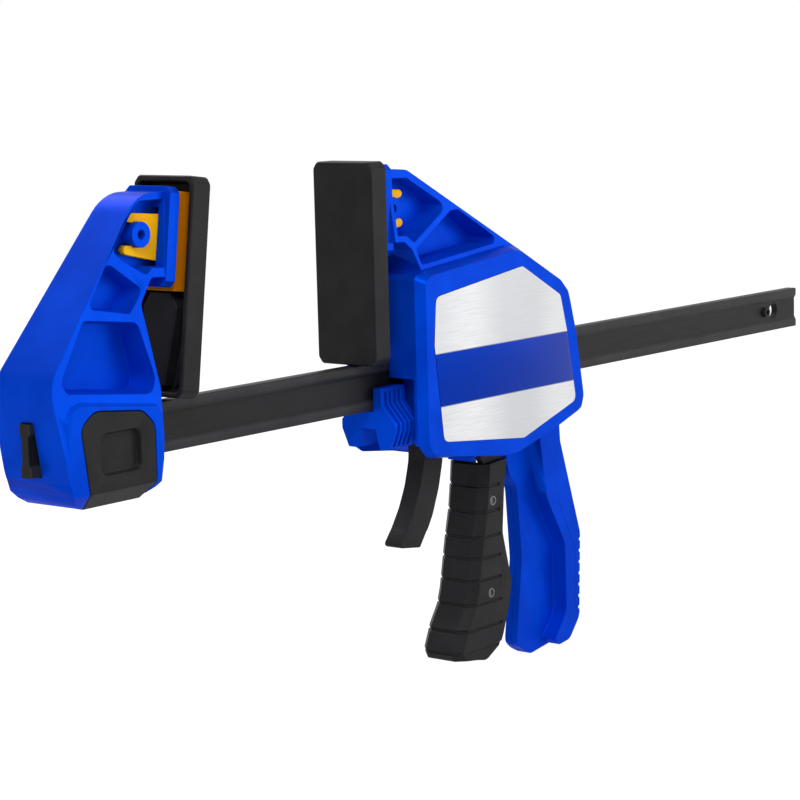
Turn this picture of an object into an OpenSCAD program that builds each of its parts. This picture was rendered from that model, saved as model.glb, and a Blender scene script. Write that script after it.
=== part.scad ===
// Quick release bar clamp: a one-handed bar clamp with a ribbed trigger grip.
// +X runs along the bar from its front end, Y runs across it, and +Z points up into the throat.
// The origin is the centre of the bar's front end face.

/* [Bar] */
// Length of the steel bar
bar_len = 588; // [560:1:900]
// Height of the bar's I section
bar_h = 21.6; // [20.8:0.1:22.4]
// Width of the bar's flanges
bar_w = 6; // [5.4:0.1:6.4]
// Thickness of each flange at its edge
flange_t = 3.7; // [3:0.1:4.2]
// Height of the slope from flange to web
shoulder_h = 1.9; // [1.2:0.1:2.4]
// Thickness of the web
web_t = 3.8; // [3:0.1:4.4]
// Radius of the hanging hole near the rear end
hang_hole_r = 4.1; // [3:0.1:4.2]
// From the bar's rear end to the hanging hole
hang_hole_back = 23; // [16:0.5:24]
// Radius of the hollow stop pin
stop_pin_r = 2.6; // [2:0.1:2.8]
// From the bar's rear end to the stop pin
stop_pin_back = 32.3; // [32:0.1:60]
// Length of the stop pin across the bar
stop_pin_len = 8; // [7.5:0.1:14]

/* [Pads] */
// Throat depth, from the bar's top edge to the top of the moving pad
throat = 92; // [86:0.5:100]
// Width of each pad
pad_w = 34.3; // [32:0.1:38]
// Thickness of each pad from its face to its rear rim
pad_t = 11; // [10:0.5:11.5]
// Wall of the hollow pad
pad_wall = 2.6; // [2:0.1:3]
// From the bar's front end to the face of the moving pad
moving_face_x = 196.4; // [190:0.1:260]
// Lean of the fixed pad at rest
fixed_pad_lean = 7.56; // [6:0.1:7.6]

/* [Fixed jaw] */
// Length of the jaw's foot along the bar
jaw_len = 60; // [58:0.5:64]
// Depth of the jaw's underside below the bar's centre
jaw_drop = 25; // [24:0.5:27]
// Half width of the jaw's foot
jaw_half = 18.5; // [18:0.1:20]
// Half width of the jaw at its top
jaw_tip_half = 9.3; // [9:0.1:10.4]

/* [Carriage] */
// Length of the carriage body along the bar
body_len = 125; // [124:0.5:132]
// Half width over the raised side panels
panel_half = 24; // [23:0.1:26]
// Half width of the carriage body around them
core_half = 19.5; // [19:0.1:20.5]
// Depth of the handle below the bar's centre
handle_drop = 150; // [148:0.5:156]
// Half width of the handle's rear rim
handle_half = 12; // [11:0.1:14]
// Half thickness of the web in the arm, the jaw and the handle
web_half = 3.8; // [3.4:0.1:4.2]

/* [Trigger and release] */
// Half width of the trigger grip
grip_half = 12; // [11.6:0.1:13]
// Wall of the trigger grip
grip_wall = 2.6; // [2.2:0.1:2.8]
// Swing of the trigger when squeezed
trigger_swing = 14; // [8:0.5:14]
// Radius of the trigger's pivot pin
trigger_pin_r = 2.5; // [2:0.1:3]
// Half thickness of the release lever
lever_half = 4.8; // [4:0.1:5]
// Swing of the release lever when pulled
lever_swing = 14; // [8:0.5:14]
// Radius of the release lever's pivot pin
lever_pin_r = 2; // [1.6:0.1:2.2]
// Tilt of the brake plate at rest
brake_tilt = 3; // [2:0.1:3]
// Travel of the latch button
latch_stroke = 3.6; // [3:0.1:3.8]

/* [Hidden] */

blue = [0.01, 0.23, 0.78];
yellow = [0.98, 0.70, 0.02];
black = [0.18, 0.18, 0.19];
steel_black = [0.13, 0.13, 0.14];
steel = [0.66, 0.67, 0.69];
silver = [0.86, 0.87, 0.88];

// Clearances: a turning or sliding fit, a loose fit, a free gap
fit_gap = 0.06;
loose_gap = 0.3;
free_gap = 0.6;
// Overrun of every cut past the face that it opens
over = 3;
// Steps in each rounded corner, and facets of each round rod or bore
arc_steps = 3;
round_fn = 48;

// Outlines are lists of [x, z] points, anticlockwise as seen from the near side, -Y
function unit(v) = v / norm(v);
function pick(values, i) = is_list(values) ? values[i] : values;
function corner(a, b, c, r) =
    let (u = unit(a - b), w = unit(c - b), half = acos(max(-1, min(1, u * w))) / 2,
        back = r / tan(half), middle = b + unit(u + w) * r / sin(half),
        from = b + u * back - middle, to = b + w * back - middle,
        first = atan2(from[1], from[0]),
        turn = (atan2(to[1], to[0]) - first + 540) % 360 - 180)
    r == 0 ? [b] : [for (i = [0 : arc_steps]) let (t = first + turn * i / arc_steps) middle + r * [cos(t), sin(t)]];
function rounded(points, radii) =
    let (n = len(points))
    [for (i = [0 : n - 1]) each corner(points[(i + n - 1) % n], points[i], points[(i + 1) % n], pick(radii, i))];

// Outline with every edge moved inwards by d, or each edge by its own d
function edge_out(a, b) = let (d = unit(b - a)) [d[1], -d[0]];
function inset(points, d) =
    let (n = len(points))
    [for (i = [0 : n - 1])
        let (e = edge_out(points[(i + n - 1) % n], points[i]), f = edge_out(points[i], points[(i + 1) % n]),
            de = pick(d, (i + n - 1) % n), df = pick(d, i), side = e[0] * f[1] - e[1] * f[0])
        points[i] - [de * f[1] - df * e[1], df * e[0] - de * f[0]] / side];

// Outline from shares of a length, of a height above the bar's centre and of a depth below it
function spread(shares, start, along, up, down) =
    [for (s = shares) [start + s[0] * along, s[1] * (s[1] > 0 ? up : down)]];
// Section in y and z: the given right half and its mirror image
function mirrored(points) =
    concat(points, [for (i = [len(points) - 1 : -1 : 0]) [-points[i][0], points[i][1]]]);

// Solid between outlines at rising y, each with the same number of points
module loft(sections) {
    n = len(sections[0][1]);
    rings = len(sections);
    points = [for (s = sections) for (p = s[1]) [p[0], s[0], p[1]]];
    sides = [for (k = [0 : rings - 2]) for (i = [0 : n - 1])
        let (a = k * n + i, b = k * n + (i + 1) % n, c = b + n, d = a + n) each [[a, b, c], [a, c, d]]];
    caps = [[for (i = [n - 1 : -1 : 0]) i], [for (i = [0 : n - 1]) (rings - 1) * n + i]];
    polyhedron(points, concat(sides, caps), convexity = 8);
}

// Outline in x and z, extruded across from y0 to y1
module slab(points, y0, y1) {
    translate([0, y1, 0]) rotate([90, 0, 0]) linear_extrude(height = y1 - y0, convexity = 8) polygon(points);
}

// Outline in y and z, extruded along from x0 to x1
module beam(points, x0, x1) {
    translate([x0, 0, 0]) rotate([90, 0, 90]) linear_extrude(height = x1 - x0, convexity = 8) polygon(points);
}

module block(x, y, z) {
    translate([x[0], y[0], z[0]]) cube([x[1] - x[0], y[1] - y[0], z[1] - z[0]]);
}

// Round rod or bore across the clamp, centred on [x, z]
module rod(at, r, y0, y1) {
    translate([at[0], y1, at[1]]) rotate([90, 0, 0]) cylinder(h = y1 - y0, r = r, $fn = round_fn);
}

module both_sides() {
    children();
    mirror([0, 1, 0]) children();
}

module place(at, lean = 0) {
    translate([at[0], 0, at[1]]) rotate([0, lean, 0]) children();
}

// One unbroken wire wound round +X from x = 0 to x = length; it prints the gap between its turns
coil_rings = 8;
coil_sides = 6;
module coil(length, mean_r, wire_r, turns) {
    steps = turns * coil_rings;
    points = [for (i = [0 : steps]) let (a = 360 * i / coil_rings, x = wire_r + (length - 2 * wire_r) * i / steps)
        for (k = [0 : coil_sides - 1]) let (t = 360 * k / coil_sides, r = mean_r + wire_r * cos(t))
            [x + wire_r * sin(t), r * cos(a), r * sin(a)]];
    sides = [for (i = [0 : steps - 1]) for (k = [0 : coil_sides - 1])
        let (a = i * coil_sides + k, b = i * coil_sides + (k + 1) % coil_sides, c = b + coil_sides, d = a + coil_sides)
            each [[a, b, c], [a, c, d]]];
    caps = [[for (k = [coil_sides - 1 : -1 : 0]) k], [for (k = [0 : coil_sides - 1]) steps * coil_sides + k]];
    polyhedron(points, concat(sides, caps), convexity = 10);
    echo(coil_gap = (length - 2 * wire_r) / turns - 2 * wire_r);
}

// Bar with its hanging hole, and the hollow pin that stops the carriage
bar_edge_r = 0.5;
latch_pin_r = 3;
latch_x = jaw_len * 0.55;
stop_at = [bar_len - stop_pin_back, 0];
stop_bore_r = stop_pin_r * 0.6;
bar_quarter = [[bar_w / 2, flange_t - bar_h / 2], [web_t / 2, flange_t + shoulder_h - bar_h / 2]];
bar_right = [[bar_w, -bar_h] / 2, bar_quarter[0], bar_quarter[1], [web_t / 2, -bar_quarter[1][1]],
    [bar_w / 2, -bar_quarter[0][1]], [bar_w, bar_h] / 2];

module bar() {
    color(steel_black) difference() {
        beam(rounded(mirrored(bar_right), bar_edge_r), 0, bar_len);
        rod([bar_len - hang_hole_back, 0], hang_hole_r, -bar_w, bar_w);
        rod(stop_at, stop_pin_r + fit_gap / 2, -bar_w, bar_w);
        rod([latch_x, 0], latch_pin_r + fit_gap, -bar_w, bar_w);
    }
}

module stop_pin() {
    color(steel_black) difference() {
        rod(stop_at, stop_pin_r, -stop_pin_len / 2, stop_pin_len / 2);
        rod(stop_at, stop_bore_r, -stop_pin_len, stop_pin_len);
    }
}

// Way for the bar through the jaw and the carriage
way_y = bar_w / 2 + loose_gap;
way_z = bar_h / 2 + loose_gap;
module bar_way(x0, x1) {
    block([x0, x1], [-way_y, way_y], [-way_z, way_z]);
}

// Swivels: both jaws top out level, and each pad turns on a round boss on its jaw's web
pad_over_jaw = 2.8;
pad_lift = 0.7;
pad_h = throat - pad_lift;
jaw_top = bar_h / 2 + throat - pad_over_jaw;
swivel_share = 0.81;
fixed_axis = [jaw_len * 0.977, jaw_top * swivel_share];
fixed_reach = 32.5;
fixed_over = pad_h * 0.28;
moving_reach = 27;
moving_axis = [moving_face_x + moving_reach, jaw_top * swivel_share - pad_lift];
moving_over = bar_h / 2 + throat - moving_axis[1];
boss_r = 5.3;
boss_hole_r = 2;
boss_end = 10.5;
boss_end_moving = 7.7;
plate_gap = 3.1;
plate_t = 5.7;
plate_half = 13;
plate_up = 20.6;
plate_corner = 2.6;
yoke_in = web_half + loose_gap + fit_gap;
yoke_t = 3.1;
yoke_back = 6.4;
yoke_prong = 3.7;
yoke_block_half = 10.8;
yoke_block_h = 41;
yoke_relief = 1.5;
yoke_rise_shares = [-0.53, 0.46];
slot_rise_shares = [-0.62, 0.58];
pad_floor = 3;
pad_corner = [2.3, 3];
plateau_half = 10;

// Outline of a plate or pad in y and z with its corners cut
function cut_corners(half, low, high, cut) =
    [[-half + cut[0], low], [half - cut[0], low], [half, low + cut[1]], [half, high - cut[1]],
        [half - cut[0], high], [-half + cut[0], high], [-half, high - cut[1]], [-half, low + cut[1]]];

// Boss and face plate of a jaw, with the pad towards +x
module swivel_seat(reach, end) {
    front = reach - pad_t - plate_gap;
    both_sides() rod([0, 0], boss_r, -end, over / 2 - web_half);
    beam(cut_corners(plate_half, -plate_up, plate_up, plate_corner * [1, 1]), front - plate_t, front);
}

// What is cut out of it: the boss's hole, and the two slots for the yoke's cheeks
module swivel_cuts(reach) {
    front = reach - pad_t - plate_gap;
    rod([0, 0], boss_hole_r, -plate_half, plate_half);
    both_sides() block([boss_r, front + over],
        [-yoke_in - yoke_t - loose_gap, loose_gap - yoke_in], plate_up * slot_rise_shares);
}

// Yoke: two cheeks that snap on the boss, and the block that fills the back of the pad
module yoke(reach) {
    front = reach - pad_t - plate_gap;
    end = reach - pad_floor;
    low = plate_up * yoke_rise_shares[0];
    high = plate_up * yoke_rise_shares[1];
    mouth = boss_r - loose_gap * 2;
    cheek = [[-yoke_back, -mouth - yoke_prong], [front + yoke_t, low], [front + yoke_t, high],
        [-yoke_back, mouth + yoke_prong], [-yoke_back, mouth], [0, mouth], [0, -mouth], [-yoke_back, -mouth]];
    tip = yoke_prong * 0.45;
    half = yoke_block_h / 2;
    start = front + free_gap;
    color(yellow) {
        difference() {
            both_sides() slab(rounded(cheek, [tip, tip / 2, tip / 2, tip, tip, 0, 0, tip]), -yoke_in - yoke_t, -yoke_in);
            rod([0, 0], boss_r + fit_gap, -plate_half, plate_half);
        }
        slab([[start + yoke_relief, -half - yoke_relief], [end, -half - yoke_relief], [end, half - yoke_relief],
            [start + yoke_relief, half - yoke_relief], [start, half * 0.3], [start, -half * 0.3]],
            -yoke_block_half, yoke_block_half);
    }
}

// Pad: a hollow moulding with a rim round its back and a raised plate inside
module pad(reach, up) {
    down = pad_h - up;
    half = pad_w / 2;
    foot = pad_wall * 1.6 - down;
    shelf = -yoke_block_h / 2 - yoke_relief - loose_gap - foot;
    color(black) {
        difference() {
            beam(cut_corners(half, -down, up, pad_corner), reach - pad_t, reach);
            beam(cut_corners(half - pad_wall, pad_wall - down, up - pad_wall, pad_corner / 2),
                reach - pad_t - over, reach - pad_floor);
        }
        beam([[-plateau_half * 0.5, foot], [plateau_half * 0.5, foot], [plateau_half, foot + shelf * 0.84],
            [plateau_half * 0.6, foot + shelf], [-plateau_half * 0.6, foot + shelf], [-plateau_half, foot + shelf * 0.84]],
            reach - pad_t * 0.85, reach - pad_floor + fit_gap);
    }
}

module fixed_yoke() {
    place(fixed_axis, fixed_pad_lean) yoke(fixed_reach);
}

module fixed_pad() {
    place(fixed_axis, fixed_pad_lean) pad(fixed_reach, fixed_over);
}

module moving_yoke() {
    place(moving_axis) mirror([1, 0, 0]) yoke(moving_reach);
}

module moving_pad() {
    place(moving_axis) mirror([1, 0, 0]) pad(moving_reach, moving_over);
}

// Pocket in a web, from the web's face out past the side, its walls drafted
pocket_draft = 1.1;
module pocket(points, radii, outer) {
    loft([[-outer - over, rounded(points, radii)], [-outer * 0.72, rounded(points, radii)],
        [-web_half, rounded(inset(points, pocket_draft), radii)]]);
}

// Fixed jaw
function jaw(shares) = spread(shares, 0, jaw_len, jaw_top, jaw_drop);
jaw_shares = [[0.165, -0.97], [0.79, -1], [0.937, -0.82], [0.977, -0.4], [1, 0.19], [0.895, 0.535],
    [1.02, 0.635], [1.175, 0.63], [1.25, 0.975], [1.033, 0.975], [0.9, 0.935], [0.025, 0.29], [-0.005, 0.215],
    [0.088, -0.44]];
jaw_radii = [9, 4, 4, 6, 8, 5, 2, 0, 0, 18, 20, 14, 14, 30];
jaw_pocket_shares = [
    [[0.762, 0.711], [0.977, 0.645], [1.037, 0.673], [1.155, 0.668], [1.22, 0.95], [0.972, 0.95], [0.82, 0.876],
        [0.68, 0.755]],
    [[0.403, 0.541], [0.783, 0.501], [0.925, 0.593], [0.617, 0.718]],
    [[0.142, 0.226], [0.925, 0.171], [0.955, 0.24], [0.842, 0.465], [0.35, 0.5], [0.093, 0.27]]];
jaw_pocket_radii = [[2, 3, 2, 0, 0, 4, 4, 2], [2, 3, 2.5, 3], [2, 4.5, 5, 4, 3, 3]];
arch_shares = [[0.15, -1.1], [0.95, -1.1], [0.983, -0.36], [1, 0.09], [0.95, 0.142], [0.233, 0.194], [0.15, 0.183],
    [0.067, 0.135], [0.087, -0.44]];
arch_bevel = 2.4;
arch_bevel_shares = [0, 0, 0.5, 1, 1, 1, 1, 0.6, 0];
foot_low_share = 0.68;
foot_bend_share = -0.74;
jaw_section = mirrored([[jaw_half * foot_low_share, -jaw_drop], [jaw_half, jaw_drop * foot_bend_share],
    [jaw_half, 0], [jaw_tip_half, jaw_top]]);
foot_section = mirrored([[jaw_half * foot_low_share, -jaw_drop], [jaw_half, jaw_drop * foot_bend_share],
    [jaw_half, jaw_top / 2]]);

module jaw_side_shape() {
    slab(rounded(jaw(jaw_shares), jaw_radii), -jaw_half - over, jaw_half + over);
}

module jaw_body() {
    outline = jaw(arch_shares);
    face = inset(outline, arch_bevel * arch_bevel_shares);
    difference() {
        intersection() {
            jaw_side_shape();
            beam(jaw_section, -jaw_len, jaw_len * 2);
        }
        both_sides() for (i = [0 : len(jaw_pocket_shares) - 1])
            pocket(jaw(jaw_pocket_shares[i]), jaw_pocket_radii[i], jaw_half);
    }
    intersection() {
        jaw_side_shape();
        beam(foot_section, -jaw_len, jaw_len * 2);
        loft([[-jaw_half, face], [arch_bevel - jaw_half, outline], [jaw_half - arch_bevel, outline], [jaw_half, face]]);
    }
}

module fixed_jaw() {
    color(blue) difference() {
        union() {
            jaw_body();
            place(fixed_axis, fixed_pad_lean) swivel_seat(fixed_reach, boss_end);
        }
        bar_way(-jaw_len, jaw_len * 2);
        place(fixed_axis, fixed_pad_lean) swivel_cuts(fixed_reach);
        latch_room();
    }
}

// Latch: a push panel on the near side whose frame reaches round the bar and carries the pin
latch_panel_shares = [[0.298, -1.08], [0.8, -1.08], [0.9, -0.72], [0.9, 0.051], [0.79, 0.113], [0.347, 0.143],
    [0.217, 0.09]];
latch_panel_radii = [1, 2, 4, 7, 7, 8, 6];
latch_gap = 0.4;
latch_t = 4;
latch_lip_y = 8.5;
latch_lip_t = 3;
latch_arm_half = 6;
latch_arm_x = [latch_x - latch_arm_half, latch_x + latch_arm_half];
latch_arm_z = [way_z, way_z + 3];
latch_bridge = [6, 10];
latch_tip_y = -1.5;
latch_wall = 1.5;
latch_recess_shares = [[0.4, -0.46], [0.75, -0.46], [0.75, 0.043], [0.4, 0.043]];
latch_recess_depth = 2.4;
latch_recess_r = 3;
latch_section = [[-jaw_half, jaw_drop * foot_bend_share], [-jaw_half * foot_low_share, -jaw_drop],
    [-latch_lip_y, -jaw_drop], [-latch_lip_y, latch_lip_t - jaw_drop],
    [latch_t * 0.8 - jaw_half * foot_low_share - latch_lip_t * 0.6, latch_lip_t - jaw_drop],
    [latch_t - jaw_half, jaw_drop * foot_bend_share + latch_t * 0.4], [latch_t - jaw_half, jaw_half],
    [-jaw_half, jaw_half]];

module latch_room() {
    outline = rounded(inset(jaw(latch_panel_shares), -latch_gap), latch_panel_radii);
    top = latch_arm_z[1] + loose_gap;
    slab(outline, -jaw_half - over, latch_t + latch_stroke + latch_gap - jaw_half);
    intersection() {
        slab(outline, -jaw_half - over, latch_stroke + latch_gap - latch_lip_y);
        block([0, jaw_len], [-jaw_half * 2, 0], [-jaw_drop * 2, jaw_drop * foot_bend_share + latch_t * 0.7]);
    }
    block([latch_arm_x[0] - free_gap, latch_arm_x[1] + free_gap],
        [latch_t - latch_gap - jaw_half, jaw_half - latch_wall], [-top, top]);
}

module latch_button() {
    recess = jaw(latch_recess_shares);
    color(black) difference() {
        union() {
            intersection() {
                slab(rounded(jaw(latch_panel_shares), latch_panel_radii), -jaw_half, -latch_lip_y);
                beam(latch_section, 0, jaw_len);
            }
            for (z = [latch_arm_z, [-latch_arm_z[1], -latch_arm_z[0]]])
                block(latch_arm_x, [latch_t - jaw_half, latch_bridge[1]], z);
            block(latch_arm_x, latch_bridge, latch_arm_z[1] * [-1, 1]);
        }
        loft([[-jaw_half - over, rounded(inset(recess, -over / 2), latch_recess_r)],
            [latch_recess_depth - jaw_half, rounded(recess, latch_recess_r)]]);
        rod([latch_x, 0], latch_pin_r + fit_gap / 2, 0, latch_bridge[1] + over);
    }
}

module latch_pin() {
    color(steel) rod([latch_x, 0], latch_pin_r, latch_tip_y, latch_bridge[1]);
}

latch_spring_r = 4;
latch_wire_r = 0.5;
module latch_spring() {
    color(steel) translate([latch_x, latch_bridge[1], 0]) rotate([0, 0, 90])
        coil(jaw_half - latch_wall - latch_bridge[1], latch_spring_r, latch_wire_r, 4);
}

// Carriage: its outlines are shares of the body's length, the jaw's height and the handle's depth
swivel_lead = 0.4;
carriage_x = moving_axis[0] - swivel_lead;
function carriage(shares) = spread(shares, carriage_x, body_len, jaw_top, handle_drop);
core_shares = [[0.04, -0.227], [0.496, -0.273], [0.6, -0.27], [0.824, -0.216], [0.984, -0.169], [0.998, -0.129],
    [0.951, 0.14], [0.906, 0.35], [0.858, 0.41], [0.616, 0.572], [0.56, 0.584], [0.048, 0.52], [-0.008, 0.5],
    [-0.008, -0.187]];
panel_shares = [[0.052, -0.22], [0.464, -0.266], [0.564, -0.265], [0.824, -0.209], [0.979, -0.168], [0.995, -0.129],
    [0.947, 0.14], [0.903, 0.333], [0.856, 0.39], [0.61, 0.55], [0.559, 0.563], [0.05, 0.499], [0.013, 0.474],
    [0.013, -0.187]];
body_radii = [6, 8, 8, 8, 4, 3, 10, 5, 5, 6, 6, 4, 3, 6];
arm_shares = [[0.064, 0.44], [0.616, 0.52], [0.684, 0.54], [0.051, 0.977], [-0.03, 0.985], [-0.07, 0.985],
    [-0.07, 0.657], [-0.021, 0.657], [0.019, 0.618], [0.05, 0.53]];
arm_radii = [0, 0, 0, 8, 0, 0, 0, 3, 3, 3];
arm_pocket_shares = [
    [[-0.05, 0.684], [-0.004, 0.682], [0.034, 0.648], [0.254, 0.795], [0.046, 0.942], [-0.05, 0.946]],
    [[0.06, 0.545], [0.55, 0.606], [0.316, 0.777], [0.272, 0.775], [0.042, 0.622]]];
arm_pocket_radii = [[0, 2, 2, 3, 3, 0], [2, 2, 2.5, 2.5, 2]];
arm_root_half = 18.4;
arm_tip_half = 10.6;
arm_root_share = 0.48;
label_shares = [[0.1, -0.181], [0.592, -0.224], [0.94, -0.138], [0.888, 0.138], [0.847, 0.322], [0.604, 0.486],
    [0.07, 0.4], [0.055, 0.18]];
label_radii = [4, 7, 4, 8, 4, 5, 4, 12];
label_t = 0.6;
label_sink = 0.4;

// Handle: a web from the body down to a flared rear rim, with a ribbed strap set in its back
handle_web_shares = [[0.69, -0.2], [0.696, -0.333], [0.715, -0.375], [0.759, -0.417], [0.782, -0.661],
    [0.738, -0.937], [0.777, -0.963], [0.83, -0.986], [1, -0.965], [1.03, -0.85], [1, -0.6], [0.94, -0.4],
    [0.86, -0.2]];
handle_web_radii = [0, 0, 6, 8, 20, 4, 3, 4, 3, 3, 10, 10, 0];
handle_rim_shares = [[0.908, -0.943], [0.931, -0.967], [1.007, -0.959], [1.077, -0.892], [1.092, -0.607],
    [0.966, -0.284], [0.954, -0.15], [0.82, -0.15], [0.83, -0.272], [0.867, -0.459], [0.986, -0.629],
    [0.988, -0.866]];
handle_rim_radii = [1.5, 2.5, 6, 8, 12, 6, 0, 0, 6, 10, 12, 12];
strap_shares = [[1.05, -0.873], [1.12, -0.873], [1.12, -0.6], [1, -0.24], [0.96, -0.28], [0.916, -0.345],
    [0.932, -0.38], [0.942, -0.48], [1.046, -0.64], [1.056, -0.72]];
strap_radii = [1, 0, 0, 0, 0, 2, 3, 5, 8, 10];
strap_ribs = 7;
strap_rib_start_share = 0.63;
strap_rib_end_share = 0.86;
strap_rib_slope_share = 0.053;
strap_groove = [1.5, 0.9];

// Places of the working parts
trigger_axis = carriage([[0.552, 0.42]])[0];
trigger_head_r = 7.5;
trigger_pin_end = 16;
lever_head_r = 4.6;
lever_pin_end = 12;
lever_axis = [carriage_x + body_len * 0.248, -bar_h / 2 - free_gap - lever_head_r];
link_arm = [6, 9];
link_at = lever_axis - link_arm;
link_pin_r = 1.5;
drive_travel = trigger_axis[1] * trigger_swing * PI / 180;
paddle_travel = link_arm[1] * lever_swing * PI / 180;
cheek_gap = 1.6;
cheek_in = web_half + cheek_gap;
cheek_out = 9;
drive_x = carriage_x + body_len * 0.6216;
drive_plate_t = 3;
drive_plate_half = 12;
drive_plate_rise = 5.4;
drive_spring_r = 13.5;
drive_wire_r = 0.8;
drive_stack = 2 * drive_plate_t + loose_gap;
spring_seat_x = carriage_x + body_len * 0.904;
brake_at = [carriage_x + body_len * 0.12, bar_h / 2 + 6.2];
brake_t = 3;
brake_half = 10;
brake_drop = 37;
brake_up = 3.4;
brake_front_room = 3.7;
brake_rear_room = 10.2;
brake_spring_r = 12.7;
brake_wire_r = 0.6;
brake_rib_x = brake_at[0] + brake_rear_room;
recess_x = carriage_x + body_len * 0.068;
recess_half = 17.5;
recess_z = [-31.5, 3];
floor_cut_shares = [[-0.05, -0.185], [0.1, -0.185], [0.155, -0.205], [0.22, -0.24], [0.22, -0.3], [-0.05, -0.3]];
floor_cut_radii = [0, 6, 10, 0, 0, 0];
bay_half = 14;
finger_y = [5.4, 7.6];
finger_rise = [3.2, 3];
finger_z = [link_at[1] - finger_rise[0], link_at[1] + finger_rise[1]];
finger_end = link_at[0] + 4;
paddle_len = 17.4;
paddle_back = carriage_x + body_len * 0.035;
paddle_half = 15.6;
paddle_drop = 28.4;
screw_r = 1.6;
screw_head_r = 3.4;
screw_head_t = 2.2;
screw_tip_y = -15.5;
body_screw_shares = [[0.14, 0.33], [0.82, 0.27], [0.396, -0.16], [0.885, -0.125]];
handle_screw_shares = [[0.83, -0.5], [0.86, -0.8]];

module screw_stack(shares, top, tip, gap) {
    for (at = carriage(shares)) {
        rod(at, screw_r + gap, tip - gap, top);
        rod(at, screw_head_r + gap, top - screw_head_t - gap, top + over * sign(gap));
    }
}

module screw_set(gap) {
    screw_stack(body_screw_shares, panel_half - label_sink - free_gap, screw_tip_y, gap);
    screw_stack(handle_screw_shares, web_half, -web_half * 0.7, gap);
}

// Everything that is cut out of the housing for the working parts
module housing_rooms() {
    bar_way(carriage_x - body_len, carriage_x + body_len * 2);
    // Recess in the front for the paddle, and the openings for its fingers and its nose
    block([carriage_x - body_len, recess_x], recess_half * [-1, 1], recess_z);
    slab(rounded(carriage(floor_cut_shares), floor_cut_radii), -core_half, core_half);
    block([recess_x - over, finger_end + paddle_travel + free_gap], (finger_y[1] + free_gap) * [-1, 1],
        [finger_z[0] - free_gap, finger_z[1] + free_gap]);
    block([recess_x - over, brake_at[0]], lever_half * [-1, 1], [-paddle_drop * 0.7, -way_z + loose_gap]);
    // Brake plate with its seat, and its spring
    block([brake_at[0] - brake_front_room, brake_rib_x], bay_half * [-1, 1],
        [brake_at[1] - brake_drop - free_gap * 2, bay_half + free_gap]);
    block([brake_at[0] - loose_gap, brake_at[0] + brake_t + free_gap], (brake_half + free_gap) * [-1, 1],
        [0, brake_at[1] + brake_up + free_gap]);
    // Release lever
    block([link_at[0] - link_arm[0] * 0.9, lever_axis[0] + lever_head_r * 2.8], (lever_half + free_gap) * [-1, 1],
        [-body_len, -way_z + loose_gap]);
    rod(lever_axis, lever_pin_r + fit_gap, -lever_pin_end - fit_gap, lever_pin_end + fit_gap);
    // Trigger cheeks and their pivot
    both_sides() slab(carriage(trigger_room_shares), -cheek_out - free_gap, free_gap - cheek_in);
    both_sides() rod(trigger_axis, trigger_head_r + free_gap, -cheek_out - free_gap, free_gap - cheek_in);
    rod(trigger_axis, trigger_pin_r + fit_gap, -trigger_pin_end - fit_gap, trigger_pin_end + fit_gap);
    // Drive plates and their spring
    block([drive_x - free_gap * 3, drive_x + drive_stack + drive_travel + free_gap],
        (drive_plate_half + free_gap) * [-1, 1], (bar_h / 2 + drive_plate_rise + free_gap) * [-1, 1]);
    translate([drive_x + drive_stack, 0, 0]) rotate([0, 90, 0])
        cylinder(h = spring_seat_x - drive_x - drive_stack, r = drive_spring_r + drive_wire_r + free_gap, $fn = round_fn);
}

// Half of the housing, split on the bar's centre plane; this is the near one
module housing_half() {
    core = rounded(carriage(core_shares), body_radii);
    arm_section = mirrored([[arm_root_half, 0], [arm_root_half, jaw_top * arm_root_share], [arm_tip_half, jaw_top]]);
    difference() {
        union() {
            loft([[-panel_half, rounded(carriage(panel_shares), body_radii)], [-core_half, core], [0, core]]);
            difference() {
                intersection() {
                    slab(rounded(carriage(arm_shares), arm_radii), -arm_root_half - over, 0);
                    beam(arm_section, carriage_x - body_len, carriage_x + body_len);
                }
                for (i = [0 : len(arm_pocket_shares) - 1])
                    pocket(carriage(arm_pocket_shares[i]), arm_pocket_radii[i], arm_root_half);
            }
            place(moving_axis) mirror([1, 0, 0]) swivel_seat(moving_reach, boss_end_moving);
            slab(rounded(carriage(handle_web_shares), handle_web_radii), -web_half, 0);
            slab(rounded(carriage(handle_rim_shares), handle_rim_radii), -handle_half, 0);
            slab(carriage(stop_tab_shares), -grip_half * 0.6, 0);
        }
        block([0, bar_len], [0, panel_half * 2], [-handle_drop * 2, jaw_top * 2]);
        place(moving_axis) mirror([1, 0, 0]) swivel_cuts(moving_reach);
        slab(rounded(inset(carriage(label_shares), -fit_gap), label_radii), -panel_half - over, label_sink - panel_half);
        slab(rounded(carriage(strap_shares), strap_radii), -handle_half - over, over);
        housing_rooms();
    }
}

module housing_near() {
    color(blue) difference() {
        housing_half();
        screw_set(fit_gap);
    }
}

module housing_far() {
    color(blue) difference() {
        mirror([0, 1, 0]) housing_half();
        screw_set(fit_gap);
    }
}

module housing_screws() {
    color(steel) screw_set(0);
}

module label_plate_near() {
    color(silver) slab(rounded(carriage(label_shares), label_radii), label_sink - label_t - panel_half,
        label_sink - panel_half);
}

module label_plate_far() {
    color(silver) mirror([0, 1, 0]) slab(rounded(carriage(label_shares), label_radii),
        label_sink - label_t - panel_half, label_sink - panel_half);
}

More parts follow.
